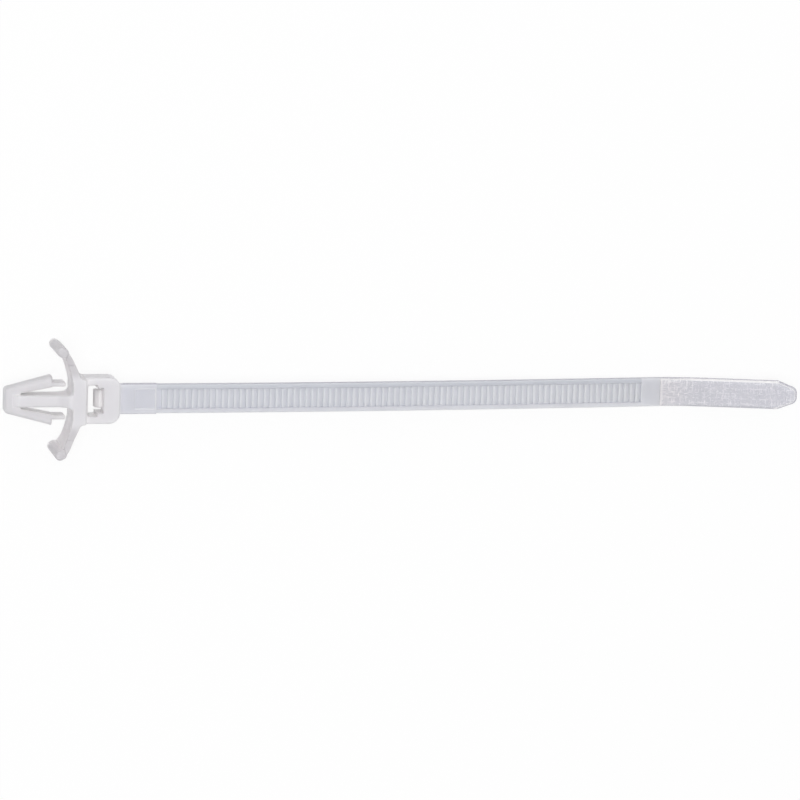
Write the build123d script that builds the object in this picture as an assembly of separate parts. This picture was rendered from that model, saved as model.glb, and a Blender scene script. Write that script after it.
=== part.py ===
from build123d import *
from math import cos, pi, sin, sqrt
import os

# Releasable push-in cable tie, moulded in one shot from natural nylon.
# Millimetres. X runs along the tie, from the arrowhead nose (-X) to the tail (+X).
# Y is across the strap, and +Z is the toothed side.
# The origin is on the foot's axis, in the plane of the barb shoulders.

# Arrowhead foot, for a round hole in a panel
PANEL_HOLE = 6.5
BARB_SPREAD = 8.1
BARB_DEPTH = 3.2
BARB_THICKNESS = 1.8
NOSE_LENGTH = 7.7
NOSE_WIDTH = 4.0
NOSE_RADIUS = 0.6
LEDGE_LENGTH = 2.25
LEDGE_THICKNESS = 0.7
LEDGE_PLAY = 0.4
SLIT_REACH = 5.1
SLIT_START = 0.3
POST_WIDTH = 1.95
POST_DEPTH = 4.4
POST_NOSE_GAP = 0.6
POST_RAMP = 1.8
POST_SWEEP = 2.6
POST_FILLET = 0.9
POST_ROUND = 0.35
BARB_BEVEL = 0.12

# Saddle block between the post and the head
SADDLE_START = 3.2
SADDLE_LENGTH = 2.3
SADDLE_WIDTH = 7.5
SADDLE_DEPTH = 6.6

# Spring wings that press on the panel
WING_SPAN = 18.6
WING_ROOT_THICKNESS = 1.6
WING_TIP_THICKNESS = 0.75
WING_BOW = 0.25
WING_LEAN = 2.0
WING_FILLET = 0.8
FLARE_START = 6.2
FLARE_END = 7.8
FLARE_ROUND = 0.8
PAD_DEPTH = 10.2
PAD_THICKNESS = 1.6
PAD_REACH = 2.0
PAD_LEAN = 30.0
PAD_ROUND = 0.45
ARM_INSET = 0.1

# Locking head
HEAD_LENGTH = 5.7
HEAD_WIDTH = 7.65
HEAD_DEPTH = 4.2
HEAD_DROP = 0.2
HEAD_CORNER = 1.8
EDGE_ROUND = 0.35
SLOT_WALL = 0.3
SLOT_PLAY_WIDTH = 0.35
SLOT_PLAY_THICKNESS = 0.3
SLOT_CORNER = 0.35

# Pawl in the head
PAWL_WIDTH = 2.86
PAWL_SIDE_GAP = 0.62
PAWL_ROOM = 1.0
PAWL_REACH = 1.2
PAWL_HINGE = 1.0
PAWL_TOP_GAP = 1.8
PAWL_LIP = 0.45
PAWL_RAMP = 0.95
PAWL_TOOTH = 0.34
PAWL_UNDERCUT = 0.1
PAWL_TEETH = 2
PAWL_END = 0.35
PAWL_BACK_ROOM = 0.9

# Strap
STRAP_WIDTH = 4.8
STRAP_THICKNESS = 1.3
STRAP_DROP = 0.3
NECK_WIDTH = 5.0
NECK_LENGTH = 2.6
LABEL_LENGTH = 3.3
LABEL_SINK = 0.12
LABEL_RIB = 0.3
RACK_GAP = 0.85
RAIL_WIDTH = 0.8
PITCH = 1.0
TEETH = 82
TOOTH_LAND = 0.28
CREST_SINK = 0.08
ROOT_SINK = 0.45
PLAIN_LENGTH = 3.35
TAIL_LENGTH = 23.2
TAIL_THICKNESS = 1.1
TAIL_BEND = 18.5
BEND_RADIUS = 26.0
TIP_LENGTH = 3.2
TIP_WIDTH = 2.3
TIP_RADIUS = 1.1
TIP_BEVEL = 0.3
STRAP_ROUND = 0.22

# Shares and allowances used all over
END_ROUND = 0.45
CUT_ROOM = 1.0
NEAR = 0.01

# Stations along the tie
POST_START = -NOSE_LENGTH + POST_NOSE_GAP
SADDLE_END = SADDLE_START + SADDLE_LENGTH
HEAD_END = SADDLE_END + HEAD_LENGTH
SLOT_START = SADDLE_END + SLOT_WALL
SLOT_END = SLOT_START + STRAP_THICKNESS + SLOT_PLAY_THICKNESS
LABEL_START = HEAD_END + NECK_LENGTH
RACK_START = LABEL_START + LABEL_LENGTH + LABEL_RIB + RACK_GAP
RACK_END = RACK_START + TEETH * PITCH
TAIL_START = RACK_END + PLAIN_LENGTH
TAIL_END = TAIL_START + TAIL_LENGTH
HEAD_TOP = HEAD_DEPTH / 2 - HEAD_DROP
PAWL_TOP = HEAD_TOP - PAWL_TOP_GAP
HINGE_X = SLOT_END + PAWL_ROOM
STRAP_Z = -HEAD_DROP - STRAP_DROP

RACK_WIDTH = STRAP_WIDTH - 2 * RAIL_WIDTH
TOP = STRAP_THICKNESS / 2
OVER = TOP + CUT_ROOM

# The strap sags until its underside is level with the wing pads, then its tail turns up.
SAG = PAD_DEPTH / 2 + STRAP_Z - STRAP_THICKNESS / 2
SAG_START = HEAD_END
BEND_START = RACK_END + PLAIN_LENGTH / 2
SAG_RUN = BEND_START - SAG_START
SAG_RADIUS = (SAG_RUN**2 + sqrt(SAG_RUN**4 + 8 * SAG * BEND_RADIUS * SAG_RUN**2)) / (4 * SAG)
BEND_ANGLE = TAIL_BEND * pi / 180
BEND_END = BEND_START + BEND_ANGLE * BEND_RADIUS


def on_strap(station, height=0.0):
    """Point at a length along the strap's middle line and a height over it."""
    sag = min(max(station - SAG_START, 0), SAG_RUN) / SAG_RADIUS
    bend = min(max(station - BEND_START, 0) / BEND_RADIUS, BEND_ANGLE)
    slope = bend - sag
    run = max(station - BEND_END, 0)
    x = min(station, SAG_START) + SAG_RADIUS * sin(sag)
    x += BEND_RADIUS * (sin(slope) + sin(sag)) + run * cos(slope)
    z = STRAP_Z - SAG_RADIUS * (1 - cos(sag))
    z += BEND_RADIUS * (cos(sag) - cos(slope)) + run * sin(slope)
    return Vector(x - height * sin(slope), 0, z + height * cos(slope))


def across(station):
    """Plane square to the strap, with its X axis across it and its Y axis out of the toothed side."""
    up = on_strap(station, 1) - on_strap(station)
    return Plane(origin=on_strap(station), x_dir=(0, 1, 0), z_dir=Vector(0, 1, 0).cross(up))


def mirrored(shape):
    """The shape and its mirror image across the tie's axis."""
    return shape + mirror(shape, about=Plane.XZ)


def slab(face, depth, middle=0.0):
    """A flat outline made into a plate, centred on a height."""
    return Pos(0, 0, middle) * extrude(face, depth / 2, both=True)


def along_y(points, width):
    """A side profile, drawn in X and Z, run across the tie."""
    outline = make_face(Polyline([Vector(x, 0, z) for x, z in points], close=True))
    return extrude(outline, width / 2, both=True)


def foot_outline():
    """Plan of the arrowhead without its slits."""
    half = BARB_SPREAD / 2
    nose = NOSE_WIDTH / 2
    side = [(0, half), (-NOSE_LENGTH, nose)]
    plan = make_face(Polyline(side + [(x, -y) for x, y in reversed(side)], close=True))
    return fillet(plan.vertices().sort_by(Axis.X)[:2], NOSE_RADIUS)


def barb_gap():
    """The room between one barb and the post, which lets the barb bend in."""
    inner = POST_WIDTH / 2
    outer = BARB_SPREAD / 2 - BARB_THICKNESS
    slit = inner + SLIT_START
    corners = [(0, inner), (-SLIT_REACH, inner), (-SLIT_REACH, slit), (0, outer)]
    wedge = make_face(Polyline(corners, close=True))
    return fillet(wedge.vertices().sort_by(Axis.X)[:2], SLIT_START * END_ROUND)


def ledge():
    """The tongue behind one barb that centres the foot in the hole."""
    outer = (PANEL_HOLE - LEDGE_PLAY) / 2
    rooted = BARB_THICKNESS / 2
    tongue = Rectangle(LEDGE_LENGTH + rooted, LEDGE_THICKNESS, align=(Align.MAX, Align.MAX))
    tongue = fillet(tongue.vertices().sort_by(Axis.X)[-2:], LEDGE_THICKNESS * END_ROUND)
    return Pos(LEDGE_LENGTH, outer) * tongue


def arrowhead():
    """The nose with its two spring barbs and their ledges."""
    barbs = foot_outline() - mirrored(barb_gap()) + mirrored(ledge())
    arrow = slab(barbs, BARB_DEPTH)
    nose_edges = arrow.faces().sort_by(Axis.X)[0].edges().filter_by(Axis.Y)
    arrow = fillet(nose_edges, NOSE_RADIUS)
    behind_nose = -NOSE_LENGTH + NOSE_RADIUS * 3 / 2
    rims = [edge for face in arrow.faces().filter_by(Axis.Z) for edge in face.edges()]
    return chamfer([edge for edge in rims if edge.center().X > behind_nose], BARB_BEVEL)


def post_plan():
    """Plan of the middle post: round at the nose, and widening into the saddle."""
    length = SADDLE_START - POST_START
    plan = Pos(POST_START) * Rectangle(length, POST_WIDTH, align=(Align.MIN, Align.CENTER))
    plan = fillet(plan.vertices().sort_by(Axis.X)[:2], POST_WIDTH * END_ROUND)
    in_saddle = Rectangle(SADDLE_LENGTH / 2, POST_WIDTH + POST_FILLET * 3, align=(Align.MIN, Align.CENTER))
    plan += Pos(SADDLE_START) * in_saddle
    corners = plan.vertices().filter_by(lambda v: abs(v.X - SADDLE_START) < NEAR)
    return fillet(corners.sort_by(lambda v: abs(v.Y))[:2], POST_FILLET)


def eased(start, end):
    """A smooth S-shaped rise in the side view, level at both ends."""
    middle = (start[0] + end[0]) / 2
    return Bezier([Vector(x, 0, z) for x, z in (start, (middle, start[1]), (middle, end[1]), end)])


def post_side():
    """Side view of the post: it rises out of the nose, and again into the saddle."""
    sunk = BARB_DEPTH / 2 - POST_ROUND
    level, saddle = POST_DEPTH / 2, SADDLE_DEPTH / 2
    ramp = eased((POST_START, sunk), (POST_START + POST_RAMP, level))
    sweep = eased((SADDLE_START - POST_SWEEP, level), (SADDLE_START, saddle))
    back = SADDLE_START + SADDLE_LENGTH / 2
    rest = Polyline([sweep @ 1, (back, 0, saddle), (back, 0, 0), (POST_START, 0, 0), ramp @ 0])
    half = make_face([ramp, Line(ramp @ 1, sweep @ 0), sweep, rest])
    return half + mirror(half, about=Plane.XY)


def post():
    """The thick middle post, with its long rims rounded."""
    side = extrude(Pos(0, -BARB_SPREAD / 2) * post_side(), BARB_SPREAD, dir=(0, 1, 0))
    body = slab(post_plan(), SADDLE_DEPTH) & side
    rims = [edge for edge in body.edges() if abs(edge.center().Z) > NEAR and abs(edge.center().Y) > NEAR]
    return fillet([edge for edge in rims if edge.center().X < SADDLE_START - NEAR], POST_ROUND)


def pad_centre():
    """Middle of one wing's pad, in plan."""
    rise = PAD_THICKNESS / 2 + (PAD_REACH - PAD_THICKNESS) / 2 * sin(PAD_LEAN * pi / 180)
    return Vector(SADDLE_START - WING_LEAN, WING_SPAN / 2 - rise)


def arm_plan():
    """Plan of one bowed arm, from inside the saddle to inside its pad."""
    root_y = SADDLE_WIDTH / 2 - POST_FILLET
    centre = pad_centre()
    edge = PAD_REACH / 2 - ARM_INSET
    outer = SagittaArc((SADDLE_START + WING_ROOT_THICKNESS, root_y), centre + (edge, 0), -WING_BOW)
    inner_tip = centre + (edge - WING_TIP_THICKNESS, -PAD_THICKNESS / 4)
    inner = SagittaArc(inner_tip, (SADDLE_START, root_y), WING_BOW)
    return make_face([outer, Line(outer @ 1, inner @ 0), inner, Line(inner @ 1, outer @ 0)])


def yoke_plan():
    """Plan of the saddle block with both arms growing out of it."""
    side = SADDLE_WIDTH / 2
    block = Rectangle(SADDLE_LENGTH, SADDLE_WIDTH, align=(Align.MIN, Align.CENTER))
    plan = Pos(SADDLE_START) * block + mirrored(arm_plan())
    corners = [v for v in plan.vertices() if abs(abs(v.Y) - side) < NEAR and v.X < SADDLE_END - NEAR]
    return fillet(corners, WING_FILLET)


def yoke_front():
    """The same seen along the tie: as deep as the saddle, and flared towards the pads."""
    arm, flared = SADDLE_DEPTH / 2, PAD_DEPTH / 2 - PAD_ROUND
    tip = WING_SPAN / 2
    side = [(flared, tip), (flared, FLARE_END), (arm, FLARE_START)]
    side += [(z, -y) for z, y in reversed(side)]
    side += [(-z, y) for z, y in reversed(side)]
    face = make_face(Polyline([Vector(0, y, z) for z, y in side], close=True))
    return fillet([v for v in face.vertices() if abs(v.Y) < tip - NEAR], FLARE_ROUND)


def pad():
    """The thick rounded rim at a wing's end that bears on the panel."""
    rim = slab(Rot(0, 0, -PAD_LEAN) * SlotOverall(PAD_REACH, PAD_THICKNESS), PAD_DEPTH)
    layers = rim.edges().group_by(Axis.Z)
    return Pos(*pad_centre()) * fillet(layers[0] + layers[-1], PAD_ROUND)


def yoke():
    """Saddle block with its two spring wings."""
    arms = slab(yoke_plan(), PAD_DEPTH) & extrude(yoke_front(), SADDLE_END + CUT_ROOM, dir=(1, 0, 0))
    arms = fillet(arms.faces().sort_by(Axis.X)[-1].edges(), EDGE_ROUND)
    return arms + mirrored(pad())


def slot():
    """The way through the head for the strap's tail."""
    width = STRAP_WIDTH + SLOT_PLAY_WIDTH
    opening = Rectangle(SLOT_END - SLOT_START, width, align=(Align.MIN, Align.CENTER))
    opening = fillet(opening.vertices().sort_by(Axis.X)[:2], SLOT_CORNER)
    return slab(Pos(SLOT_START) * opening, HEAD_DEPTH + CUT_ROOM, -HEAD_DROP)


def pawl_room():
    """The pocket in the head that the pawl hangs in and bends back into."""
    inside = SLOT_START + SLOT_CORNER
    back = HINGE_X + PAWL_BACK_ROOM
    over, under = HEAD_TOP + CUT_ROOM, HEAD_TOP - HEAD_DEPTH - CUT_ROOM
    hinge_low = PAWL_TOP - PAWL_HINGE
    room = [(inside, over), (HINGE_X, over), (HINGE_X, hinge_low), (back, hinge_low - PAWL_BACK_ROOM)]
    room += [(back, under), (inside, under)]
    return along_y(room, PAWL_WIDTH + 2 * PAWL_SIDE_GAP)


def pawl():
    """The hinged tongue with its ratchet teeth, which bear on the strap's steep faces."""
    tip = HINGE_X - PAWL_REACH
    rooted = HINGE_X + PAWL_SIDE_GAP
    outline = [(rooted, PAWL_TOP), (HINGE_X - PAWL_LIP, PAWL_TOP)]
    for tooth in range(PAWL_TEETH):
        crest = PAWL_TOP - PAWL_RAMP - PITCH * tooth
        outline += [(tip, crest), (tip + PAWL_TOOTH, crest - PAWL_UNDERCUT)]
    end = PAWL_TOP - PAWL_RAMP - PITCH * (PAWL_TEETH - 1) - PAWL_END
    outline += [(tip + PAWL_TOOTH, end), (rooted, PAWL_TOP - PAWL_HINGE)]
    return along_y(outline, PAWL_WIDTH)


def head():
    """Locking head: a rounded frame round the slot, with the pawl on the strap's side."""
    frame = Rectangle(HEAD_LENGTH + SLOT_WALL, HEAD_WIDTH, align=(Align.MAX, Align.CENTER))
    frame = Pos(HEAD_END) * fillet(frame.vertices().sort_by(Axis.X)[-2:], HEAD_CORNER)
    frame = slab(frame, HEAD_DEPTH, -HEAD_DROP)
    ends = frame.faces().filter_by(Axis.Z)
    frame = fillet(ends.sort_by(Axis.Z)[-1].edges() + ends.sort_by(Axis.Z)[0].edges(), EDGE_ROUND)
    return frame - slot() - pawl_room() + pawl()


def strap_section(width):
    """Rounded cross-section of the strap."""
    return RectangleRounded(width, STRAP_THICKNESS, STRAP_ROUND)


def tail_section():
    """Cross-section of the tail: bevelled over, rounded under, and flush with the strap's back."""
    face = Pos(0, (TAIL_THICKNESS - STRAP_THICKNESS) / 2) * Rectangle(STRAP_WIDTH, TAIL_THICKNESS)
    corners = face.vertices().sort_by(Axis.Y)
    face = chamfer(corners[2:], TIP_BEVEL)
    return fillet(face.vertices().sort_by(Axis.Y)[:2], STRAP_ROUND)


def strap_run(start, end, section):
    """A stretch of strap with one section between two stations."""
    stops = [start, *(s for s in (SAG_START, BEND_START) if start < s < end), end]
    path = []
    for here, there in zip(stops, stops[1:]):
        middle = on_strap((here + there) / 2)
        straight = there <= SAG_START
        ends = on_strap(here), on_strap(there)
        path.append(Line(*ends) if straight else ThreePointArc(ends[0], middle, ends[1]))
    return sweep(across(start) * section, path=Wire(path))


def along_strap(line, width):
    """A side profile, given by stations and heights on the strap, run across it."""
    outline = make_face(Polyline([on_strap(*point) for point in line], close=True))
    return extrude(outline, width / 2, both=True)


def rack_cut():
    """What is taken out between the rails to leave the ratchet teeth."""
    root, crest = TOP - ROOT_SINK, TOP - CREST_SINK
    line = [(RACK_START - RACK_GAP, OVER), (RACK_START - RACK_GAP, root)]
    for tooth in range(TEETH):
        steep = RACK_START + tooth * PITCH
        line += [(steep, root), (steep, crest), (steep + TOOTH_LAND, crest)]
    line += [(RACK_END, root), (RACK_END, OVER)]
    return along_strap(line, RACK_WIDTH)


def label_cut():
    """The shallow plain panel between the neck and the teeth."""
    end = LABEL_START + LABEL_LENGTH
    floor = TOP - LABEL_SINK
    return along_strap([(LABEL_START, OVER), (LABEL_START, floor), (end, floor), (end, OVER)], RACK_WIDTH)


def tail_end():
    """The straight end of the tail, with the bevel carried round its pointed tip."""
    length = TAIL_END - BEND_END
    shoulder = length - TIP_LENGTH
    half, nib = STRAP_WIDTH / 2, TIP_WIDTH / 2
    side = [(0, half), (shoulder, half), (length, nib)]
    plan = make_face(Polyline(side + [(x, -y) for x, y in reversed(side)], close=True))
    plan = fillet(plan.vertices().sort_by(Axis.X)[-2:], TIP_RADIUS)
    plate = Pos(0, 0, -STRAP_THICKNESS / 2) * extrude(plan, TAIL_THICKNESS)
    rim = [edge for edge in plate.edges().group_by(Axis.Z)[-1] if edge.center().X > 0]
    plate = chamfer(rim, TIP_BEVEL)
    rim = [edge for edge in plate.edges().group_by(Axis.Z)[0] if edge.center().X > 0]
    plate = fillet(rim, STRAP_ROUND)
    start = on_strap(BEND_END)
    up = on_strap(BEND_END, 1) - start
    return Plane(origin=start, x_dir=on_strap(TAIL_END) - start, z_dir=up) * plate


def strap():
    """The strap, from its root in the head to its turned-up tip."""
    lap = STRAP_ROUND
    rack = RACK_START - RACK_GAP
    body = strap_run(HEAD_END - HEAD_CORNER, rack, strap_section(NECK_WIDTH))
    body += strap_run(rack - lap, TAIL_START, strap_section(STRAP_WIDTH))
    body += strap_run(TAIL_START - lap, BEND_END, tail_section())
    return body - rack_cut() - label_cut() + tail_end()


def cable_tie():
    """The whole moulding as one solid."""
    return arrowhead() + post() + yoke() + head() + strap()


os.makedirs("parts", exist_ok=True)
export_step(cable_tie(), "parts/cable_tie.step")
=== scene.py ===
import bpy
from math import tau
from mathutils import Matrix, Vector


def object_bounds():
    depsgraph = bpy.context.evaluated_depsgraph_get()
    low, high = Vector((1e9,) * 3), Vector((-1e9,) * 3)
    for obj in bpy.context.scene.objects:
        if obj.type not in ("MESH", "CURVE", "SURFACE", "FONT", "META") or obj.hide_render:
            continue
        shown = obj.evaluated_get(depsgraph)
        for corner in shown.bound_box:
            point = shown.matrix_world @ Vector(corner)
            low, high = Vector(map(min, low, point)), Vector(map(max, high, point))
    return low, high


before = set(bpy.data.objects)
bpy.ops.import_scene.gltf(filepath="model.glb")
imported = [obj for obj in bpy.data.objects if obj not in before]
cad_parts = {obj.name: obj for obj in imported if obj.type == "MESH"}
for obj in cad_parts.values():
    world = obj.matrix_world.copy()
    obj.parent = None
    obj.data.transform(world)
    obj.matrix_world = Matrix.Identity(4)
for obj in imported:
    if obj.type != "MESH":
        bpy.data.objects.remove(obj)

# The cable tie at rest on a pale table, seen from above. Metres, in the part's own frame:
# X runs along the tie from the nose of the foot to the tail, Y is across the strap, Z is up.
box_at_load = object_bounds()
MM = 0.001

# Where the parts of the tie start and end along X
NOSE_START = -7.7 * MM
POST_START = -6.5 * MM
POST_LEVEL = -5.8 * MM
NOSE_END = -5.3 * MM
BARB_END = 2.6 * MM
NECK_START = 11.4 * MM
LABEL_START = 13.8 * MM
LABEL_END = 17.1 * MM
RACK_START = 17.4 * MM
TEETH_START = 18.25 * MM
PAINTED_LIGHT_START = 40.0 * MM
TEETH_END = 100.147 * MM
TAIL_START = 103.49 * MM
ROOT_FADES = TAIL_START + 0.5 * MM
ROOT_END = TAIL_START + 7.0 * MM
TIP_START = 122.5 * MM

# Half widths across Y at which one part gives way to the next, from the post out to the wings' pads
POST_SIDE = 1.1 * MM
BARB_SIDE = 1.5 * MM
RACK_SIDE = 1.6 * MM
STRAP_SIDE = 2.4 * MM
WING_SIDE = 4.3 * MM
PAD_SIDE = 7.8 * MM

# The ratchet's teeth, and how far past its steep face the painted light on each is strongest
TEETH = 82
PITCH = (TEETH_END - TEETH_START) / TEETH
CREST = 0.25 * MM

# Edges are rounded off by this much, and plastic this near shuts light out of a hollow
ROUNDING = 0.2 * MM
HOLLOW_REACH = 3.0 * MM

# How far up a face looks, from one that is underneath to one that isn't
UNDERNEATH = (-0.6, -0.3)

# The nylon's faint clouds in a metre
CLOUDS = 350

# The way that the top of the turned-up tail faces, and the width of the bevel round it
TAIL_UP = (-0.317, 0.0, 0.948)
BEVEL_WIDTH = 0.37 * MM

# The knurl's strokes: how far they are drawn out, how many lie in a metre, how rough they are,
# and which of the noise is kept
STROKE_SQUEEZE = 0.12
STROKES = 8000
STROKE_ROUGHNESS = 0.4
DASHES_KEPT = (0.55, 0.8)
HATCHES_KEPT = (0.57, 0.82)

# The faint broken grid under the strokes
ROWS_APART = 0.84 * MM
COLUMNS_APART = 1.0 * MM
GRID_LINE = (0.03 * MM, 0.12 * MM)
GRID_BREAKS = 1500
GRID_KEPT = (0.45, 0.6)
GRID_SHARE = 0.5

# The table: how far it lies below the pads, so that no two faces share a plane, its half width,
# its white, and how much of what is seen of it is plain light
TABLE_GAP = 0.01 * MM
TABLE_HALF = 3.0
TABLE_WHITE = 0.97
TABLE_GLOW = 0.88

# Camera, with its place and angles as read from the photograph
AIM = Vector((58.09, -0.42, 0.0)) * MM
DISTANCE = 820 * MM
TURN = 0.2155
TILT = 0.1689
ROLL = -0.0313
PIXELS_PER_MM = 6.06
PICTURE_WIDTH = 800
SENSOR_WIDTH = 36.0
FARTHEST_SEEN = 10.0


def rgb(red, green, blue):
    """Linear colour with a full alpha."""
    return (red, green, blue, 1.0)


class Wire:
    """One output of a shader node, which plain arithmetic extends into math nodes."""

    def __init__(self, tree, socket):
        self.tree = tree
        self.socket = socket

    def maths(self, operation, *values):
        """A math node that takes this output first."""
        return self.tree.add("ShaderNodeMath", {"operation": operation}, self, *values)

    def __add__(self, other):
        return self.maths("ADD", other)

    def __sub__(self, other):
        return self.maths("SUBTRACT", other)

    def __mul__(self, other):
        return self.maths("MULTIPLY", other)

    def __rsub__(self, other):
        return self.tree.add("ShaderNodeMath", {"operation": "SUBTRACT"}, other, self)

    __radd__ = __add__
    __rmul__ = __mul__


class Tree:
    """The nodes of one material or world."""

    def __init__(self, owner):
        owner.use_nodes = True
        self.nodes = owner.node_tree.nodes
        self.links = owner.node_tree.links
        self.nodes.clear()

    def fill(self, socket, value):
        """Links a wire to an input, or sets the input to a plain value."""
        if isinstance(value, Wire):
            self.links.new(value.socket, socket)
        else:
            socket.default_value = value

    def add(self, kind, settings=None, *values, out=0, **named):
        """A node of one kind: its settings, then its inputs by place or by name."""
        node = self.nodes.new(kind)
        for key, value in (settings or {}).items():
            setattr(node, key, value)
        inputs = list(enumerate(values))
        inputs += [(name.replace("_", " "), value) for name, value in named.items()]
        for place, value in inputs:
            self.fill(node.inputs[place], value)
        return Wire(self, node.outputs[out]) if node.outputs else None

    def step(self, value, start, end):
        """0 before start and 1 after end, smooth between them."""
        settings = {"interpolation_type": "SMOOTHSTEP"}
        return self.add("ShaderNodeMapRange", settings, value, start, end, 0.0, 1.0)

    def past(self, value, limit, soft):
        """0 before a limit and 1 past it, soft on both sides of it."""
        return self.step(value, limit - soft, limit + soft)

    def band(self, value, start, end, soft):
        """1 from start to end and 0 outside, with soft edges."""
        return self.past(value, start, soft) * (1 - self.past(value, end, soft))

    def noise(self, place, scale, detail=1.0, roughness=0.5):
        """Cloudy noise, about 0.5 in the middle; scale is in features per metre."""
        return self.add(
            "ShaderNodeTexNoise", None,
            Vector=place, Scale=scale, Detail=detail, Roughness=roughness)

    def stretched(self, place, x=1.0, y=1.0):
        """The same place squeezed along X or Y by a factor, which stretches what is drawn there."""
        return self.add("ShaderNodeVectorMath", {"operation": "MULTIPLY"}, place, (x, y, 1.0))

    def likeness(self, first, second):
        """1 where two directions are the same, 0 where they are square to each other."""
        return self.add("ShaderNodeVectorMath", {"operation": "DOT_PRODUCT"}, first, second, out="Value")

    def split(self, vector):
        """The three parts of a place or direction."""
        return [self.add("ShaderNodeSeparateXYZ", None, vector, out=axis) for axis in "XYZ"]

    def mix(self, factor, first, second):
        """One colour turning into another."""
        node = self.nodes.new("ShaderNodeMix")
        node.data_type = "RGBA"
        for place, value in ((0, factor), (6, first), (7, second)):
            self.fill(node.inputs[place], value)
        return Wire(self, node.outputs[2])

    def lay(self, tint, mask, under):
        """A tint, which is a colour and how much of it goes on, over another colour where the mask is 1."""
        colour, share = tint
        return self.mix(share * mask, under, colour)


class Spot:
    """Where a point of the tie lies, and which way its surface faces there."""

    def __init__(self, tree):
        self.place = tree.add("ShaderNodeTexCoord", None, out="Object")
        self.along, self.over, _ = tree.split(self.place)
        self.side = self.over.maths("ABSOLUTE")
        self.facing = tree.add("ShaderNodeNewGeometry", None, out="Normal")
        self.soft_facing = tree.add("ShaderNodeBevel", {"samples": 6}, ROUNDING)
        rise = tree.split(self.facing)[2]
        self.upright = 1 - rise.maths("ABSOLUTE")
        self.underneath = 1 - tree.step(rise, *UNDERNEATH)
        self.cloud = tree.noise(self.place, CLOUDS, detail=3.0)
        in_post = 1 - tree.past(self.side, POST_SIDE, soft=0.1 * MM)
        self.post_start = in_post * tree.band(self.along, POST_START, POST_LEVEL, soft=0.1 * MM)
        self.in_strap = tree.past(self.along, NECK_START, soft=0.6 * MM)
        in_teeth = tree.band(self.along, TEETH_START, TEETH_END, soft=0.02 * MM)
        self.in_rack = in_teeth * (1 - tree.past(self.side, RACK_SIDE, soft=0.02 * MM))
        self.in_tail = tree.past(self.along, TAIL_START, soft=0.05 * MM)


# The foot's nylon: each pair is the two ends of a cloudy mix, each tint a colour and how much of it goes on
THICK_NYLON = (rgb(0.70, 0.69, 0.715), rgb(0.74, 0.73, 0.755))
THIN_NYLON = (rgb(0.54, 0.525, 0.545), rgb(0.59, 0.575, 0.595))
NOSE_GREY = (rgb(0.56, 0.55, 0.57), 0.5)
# Painted light on the post's ramp where it rises from the nose
POST_RAMP_PAINTED_LIGHT = (rgb(0.95, 0.94, 0.96), 0.25)
# Painted light on the wings' upright faces
WING_WALL_PAINTED_LIGHT = (rgb(0.73, 0.70, 0.72), 1.0)
BARB_THINNESS = 0.35


def foot_colour(tree, spot):
    """Dense in the thick foot and head, greyer at the nose's tip, darker in the thin barbs and wings, with
    painted light on the post's ramp and on the wings' upright faces.
    """
    thick = tree.mix(spot.cloud, *THICK_NYLON)
    thick = tree.lay(NOSE_GREY, 1 - tree.step(spot.along, NOSE_START, NOSE_END), thick)
    # Painted light on the post's rising ramp at the nose
    thick = tree.lay(POST_RAMP_PAINTED_LIGHT, spot.post_start, thick)
    thin = tree.mix(spot.cloud, *THIN_NYLON)
    on_pad = tree.past(spot.side, PAD_SIDE, soft=0.3 * MM)
    # Painted light on the wings' upright faces, all but the pads
    wing = tree.lay(WING_WALL_PAINTED_LIGHT, spot.upright * (1 - on_pad), thin)
    on_barb = tree.past(spot.side, BARB_SIDE, soft=0.3 * MM)
    on_barb = on_barb * (1 - tree.past(spot.along, BARB_END, soft=0.3 * MM))
    on_wing = tree.past(spot.side, WING_SIDE, soft=0.9 * MM)
    return tree.mix(on_wing, tree.mix(BARB_THINNESS * on_barb, thick, thin), wing)


# The strap's nylon, and its tints of painted light and painted shade
STRAP_NYLON = (rgb(0.60, 0.605, 0.65), rgb(0.64, 0.645, 0.69))
# Painted shade at the teeth's roots and painted light on their crests
TOOTH_ROOT_SHADE_TO_CREST_LIGHT = (rgb(0.65, 0.66, 0.70), rgb(0.665, 0.675, 0.715))
STRAP_PAINTED_LIGHT_TAILWARD = (rgb(0.95, 0.95, 0.96), 0.1)
RAIL_PAINTED_SHADE = (rgb(0.55, 0.565, 0.61), 1.0)
GROOVE_PAINTED_SHADE = (rgb(0.50, 0.51, 0.57), 0.4)
LABEL_EDGE_PAINTED_LIGHT = (rgb(0.93, 0.93, 0.96), 0.45)
FIRST_RIB_SHARE = 0.5
FLANK_PAINTED_SHADE = (rgb(0.36, 0.345, 0.41), 0.6)


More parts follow.
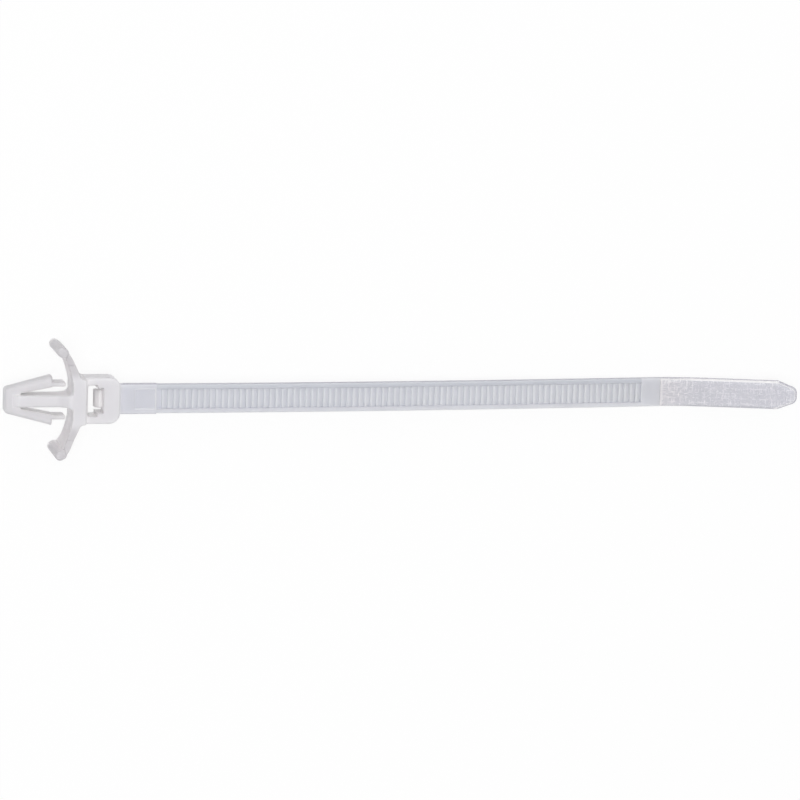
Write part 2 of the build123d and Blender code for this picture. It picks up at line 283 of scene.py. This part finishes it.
def strap_colour(tree, spot):
    """Cooler in the strap, with painted light on the tooth crests and toward the tail, painted highlights
    round the label field, and painted shade beside the rack and on its +Y rail.
    """
    plain = tree.mix(spot.cloud, *STRAP_NYLON)
    # Painted light on each tooth's crest, painted shade at its root
    crest = 0.5 + 0.5 * ((spot.along - TEETH_START - CREST) * (tau / PITCH)).maths("COSINE")
    strap = tree.mix(spot.in_rack, plain, tree.mix(crest, *TOOTH_ROOT_SHADE_TO_CREST_LIGHT))
    # Painted light on the strap, growing toward the tail
    strap = tree.lay(STRAP_PAINTED_LIGHT_TAILWARD, tree.step(spot.along, PAINTED_LIGHT_START, TEETH_END), strap)

    on_rack = tree.band(spot.along, RACK_START, TEETH_END, soft=0.05 * MM)
    # Painted shade on the rail at the rack's +Y side
    rail = tree.past(spot.over, RACK_SIDE + 0.1 * MM, soft=0.05 * MM)
    strap = tree.lay(RAIL_PAINTED_SHADE, on_rack * rail, strap)
    # Painted shade along the creases at the rack's edges
    groove = tree.band(spot.side, RACK_SIDE - 0.05 * MM, RACK_SIDE + 0.14 * MM, soft=0.03 * MM)
    strap = tree.lay(GROOVE_PAINTED_SHADE, groove * on_rack, strap)

    # Painted highlights along the label field's edges and ribs
    beside_label = groove * tree.band(spot.along, LABEL_START, RACK_START, soft=0.05 * MM)
    first_rib = tree.band(spot.along, LABEL_START - 0.12 * MM, LABEL_START + 0.12 * MM, soft=0.05 * MM)
    last_rib = tree.band(spot.along, LABEL_END, RACK_START, soft=0.03 * MM)
    rib = (FIRST_RIB_SHARE * first_rib).maths("MAXIMUM", last_rib)
    rib = rib * (1 - tree.past(spot.side, RACK_SIDE + 0.05 * MM, soft=0.05 * MM))
    strap = tree.lay(LABEL_EDGE_PAINTED_LIGHT, beside_label.maths("MAXIMUM", rib), strap)
    return tree.mix(spot.underneath, strap, plain)


def tail_knurl(tree, spot):
    """Short fine strokes along and across the tail, over a faint grid of broken lines."""
    dashes = tree.noise(tree.stretched(spot.place, x=STROKE_SQUEEZE), STROKES, roughness=STROKE_ROUGHNESS)
    hatches = tree.noise(tree.stretched(spot.place, y=STROKE_SQUEEZE), STROKES, roughness=STROKE_ROUGHNESS)
    strokes = tree.step(dashes, *DASHES_KEPT).maths("MAXIMUM", tree.step(hatches, *HATCHES_KEPT))
    rows = 1 - tree.step(spot.over.maths("PINGPONG", ROWS_APART / 2), *GRID_LINE)
    columns = 1 - tree.step(spot.along.maths("PINGPONG", COLUMNS_APART / 2), *GRID_LINE)
    broken = tree.step(tree.noise(spot.place, GRID_BREAKS), *GRID_KEPT)
    return strokes.maths("MAXIMUM", GRID_SHARE * broken * rows.maths("MAXIMUM", columns))


# The tail's nylon, from between the strokes of the knurl to their tops, which carry painted glints, and its
# tints of painted highlight and painted shade
TAIL_NYLON_AND_GLINTS = (rgb(0.515, 0.515, 0.56), rgb(0.83, 0.81, 0.85))
ROOT_PAINTED_HIGHLIGHT = (rgb(0.97, 0.93, 0.96), 1.0)
FIRST_EDGE_PAINTED_HIGHLIGHT = (rgb(0.97, 0.93, 0.96), 0.7)
BEVEL_PAINTED_HIGHLIGHT = (rgb(0.98, 0.94, 0.97), 0.95)
OUTLINE_PAINTED_SHADE = (rgb(0.34, 0.32, 0.39), 0.8)
ROOT_GROUND = 0.28

# How far the softened surface leans with the tail's top: 1 on it, 0.7 on the bevel, 0 on the sides
LEAVES_TOP = (0.95, 0.97)
INSIDE_BEVEL = (0.68, 0.71)
OUTSIDE_BEVEL = (0.55, 0.69)


def tail_colour(tree, spot, knurl):
    """Knurl strokes with painted glints, a painted highlight at the tail's root that is denser on the
    strokes and along its first edge, a painted highlight on the bevel and painted shade round it.
    """
    tail = tree.mix(knurl, *TAIL_NYLON_AND_GLINTS)
    # Painted highlight at the tail's root
    root = 1 - tree.step(spot.along, ROOT_FADES, ROOT_END)
    tail = tree.lay(ROOT_PAINTED_HIGHLIGHT, root * (ROOT_GROUND + (1 - ROOT_GROUND) * knurl), tail)
    # Painted highlight along the tail's first edge
    first_line = 1 - tree.past(spot.along, TAIL_START + 0.4 * MM, soft=0.1 * MM)
    tail = tree.lay(FIRST_EDGE_PAINTED_HIGHLIGHT, first_line, tail)

    lean = tree.likeness(spot.soft_facing, TAIL_UP).maths("ABSOLUTE")
    # Painted highlight on the bevel at the tail's +Y side and round its tip
    beside = tree.past(spot.over, STRAP_SIDE - BEVEL_WIDTH, soft=0.05 * MM)
    round_tip = tree.past(spot.along, TIP_START, soft=0.5 * MM) * (1 - tree.step(lean, *LEAVES_TOP))
    tail = tree.lay(BEVEL_PAINTED_HIGHLIGHT, beside.maths("MAXIMUM", round_tip) * tree.step(lean, *INSIDE_BEVEL), tail)
    # Painted shade on the tail's sides, beyond the bevel
    return tree.lay(OUTLINE_PAINTED_SHADE, 1 - tree.step(lean, *OUTSIDE_BEVEL), tail)


# Hollows: the painted light in them in the foot and in the strap, the shade from which it is painted, and
# the strap's loss
HOLLOW_PAINTED_LIGHT = (rgb(0.98, 0.95, 0.965), rgb(0.88, 0.89, 0.95))
HOLLOW_SHADE = (0.05, 0.5)
STRAP_LOSS = 0.72

# The painted shade along edges: how far the edge turns where it shows, and its loss in hollows
RIM_PAINTED_SHADE = (rgb(0.36, 0.33, 0.34), 0.75)
RIM_TURN = (0.05, 0.13)
RIM_LOSS = 0.75

# The finish of the moulding, with the height of the knurl beside that of the grain
GRAIN = 2600
GRAIN_STRENGTH = 0.35
GRAIN_DEPTH = 0.04 * MM
KNURL_HEIGHT = 1.5
ROUGHNESS = 0.42
ROUGHNESS_CLOUD = 0.12
TAIL_GLOSS = 0.14
NYLON_IOR = 1.53
LIGHT_DEPTH = 2.0 * MM


def natural_nylon():
    """Milky moulded nylon, denser in the foot, cooler in the strap and knurled at the tail."""
    material = bpy.data.materials.new("natural nylon")
    tree = Tree(material)
    spot = Spot(tree)
    knurl = tail_knurl(tree, spot)
    colour = tree.mix(spot.in_strap, foot_colour(tree, spot), strap_colour(tree, spot))
    colour = tree.mix(spot.in_tail, colour, tail_colour(tree, spot, knurl))
    # Painted shade on the strap's side faces
    flank = tree.past(spot.side, STRAP_SIDE - 0.02 * MM, soft=0.01 * MM)
    colour = tree.lay(FLANK_PAINTED_SHADE, spot.in_strap * (1 - spot.in_tail) * flank, colour)

    # Painted light in the hollows stands in for light that has passed through the plastic; there is none
    # between the teeth
    shade = tree.add("ShaderNodeAmbientOcclusion", {"samples": 8}, Distance=HOLLOW_REACH, out="AO")
    hollow = tree.step(1 - shade, *HOLLOW_SHADE) * (1 - STRAP_LOSS * spot.in_strap) * (1 - spot.in_rack)
    colour = tree.mix(hollow, colour, tree.mix(spot.in_strap, *HOLLOW_PAINTED_LIGHT))

    # Edges are softened, and a thin line of painted shade runs along those of the foot and the head
    turned = 1 - tree.likeness(spot.soft_facing, spot.facing)
    rim = tree.step(turned, *RIM_TURN) * (1 - spot.in_strap) * (1 - spot.post_start)
    rim = rim * (1 - RIM_LOSS * hollow)
    colour = tree.lay(RIM_PAINTED_SHADE, rim, colour)

    height = tree.noise(spot.place, GRAIN, detail=3.0) + KNURL_HEIGHT * spot.in_tail * knurl
    grain = tree.add(
        "ShaderNodeBump", None,
        Strength=GRAIN_STRENGTH, Distance=GRAIN_DEPTH, Height=height, Normal=spot.soft_facing)
    surface = tree.add(
        "ShaderNodeBsdfPrincipled", None,
        Base_Color=colour, Normal=grain, IOR=NYLON_IOR,
        Roughness=ROUGHNESS + ROUGHNESS_CLOUD * (spot.cloud - 0.5) - TAIL_GLOSS * spot.in_tail,
        Subsurface_Weight=1.0, Subsurface_Radius=(1.0, 1.0, 1.0), Subsurface_Scale=LIGHT_DEPTH)
    tree.add("ShaderNodeOutputMaterial", None, surface)
    return material


def table_white():
    """White table, with shadows that look fainter than the light it sends up to the tie."""
    material = bpy.data.materials.new("white table")
    tree = Tree(material)
    diffuse = tree.add("ShaderNodeBsdfDiffuse", None, rgb(TABLE_WHITE, TABLE_WHITE, TABLE_WHITE))
    glow = tree.add("ShaderNodeEmission", None, rgb(1.0, 1.0, 1.0), 1.0)
    bright = tree.add("ShaderNodeMixShader", None, TABLE_GLOW, diffuse, glow)
    seen = tree.add("ShaderNodeLightPath", None, out="Is Camera Ray")
    for ray in ("Is Glossy Ray", "Is Transmission Ray"):
        seen = seen.maths("MAXIMUM", tree.add("ShaderNodeLightPath", None, out=ray))
    surface = tree.add("ShaderNodeMixShader", None, seen, diffuse, bright)
    tree.add("ShaderNodeOutputMaterial", None, surface)
    return material


def table():
    """A wide flat table that the tie lies on."""
    far = TABLE_HALF
    level = box_at_load[0][2] - TABLE_GAP
    mesh = bpy.data.meshes.new("table")
    corners = [(-far, -far, level), (far, -far, level), (far, far, level), (-far, far, level)]
    mesh.from_pydata(corners, [], [(0, 1, 2, 3)])
    mesh.materials.append(table_white())
    top = bpy.data.objects.new("table", mesh)
    bpy.context.scene.collection.objects.link(top)


def camera():
    """A long lens nearly straight above the tie, turned and tilted as in the photograph."""
    turn = Matrix.Rotation(TURN, 3, "Y")
    tilt = Matrix.Rotation(TILT, 3, "X")
    roll = Matrix.Rotation(ROLL, 3, "Z")
    view = roll @ tilt @ turn
    lens = bpy.data.cameras.new("camera")
    lens.sensor_width = SENSOR_WIDTH
    lens.lens = SENSOR_WIDTH * PIXELS_PER_MM * (DISTANCE / MM) / PICTURE_WIDTH
    lens.clip_end = FARTHEST_SEEN
    holder = bpy.data.objects.new("camera", lens)
    holder.matrix_world = Matrix.Translation(AIM + DISTANCE * view[2]) @ view.transposed().to_4x4()
    bpy.context.scene.collection.objects.link(holder)
    bpy.context.scene.camera = holder


def softbox(name, place, size, power):
    """A square soft light that faces the tie."""
    light = bpy.data.lights.new(name, "AREA")
    light.size = size
    light.energy = power
    holder = bpy.data.objects.new(name, light)
    holder.location = place
    holder.rotation_euler = (Vector(place) - AIM).to_track_quat("Z", "Y").to_euler()
    bpy.context.scene.collection.objects.link(holder)


def surroundings(strength):
    """Soft white light from all round."""
    world = bpy.data.worlds.new("studio")
    bpy.context.scene.world = world
    tree = Tree(world)
    light = tree.add("ShaderNodeBackground", None, rgb(1.0, 1.0, 1.0), strength)
    tree.add("ShaderNodeOutputWorld", None, light)


nylon = natural_nylon()
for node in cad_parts.values():
    for slot in node.material_slots:
        slot.material = nylon

table()
camera()
surroundings(strength=0.5)
softbox("overhead", place=(-0.12, 0.05, 0.96), size=0.5, power=4.55)
softbox("window", place=(0.25, 0.95, 0.75), size=1.0, power=1.5)
bpy.context.scene.view_settings.view_transform = "Standard"
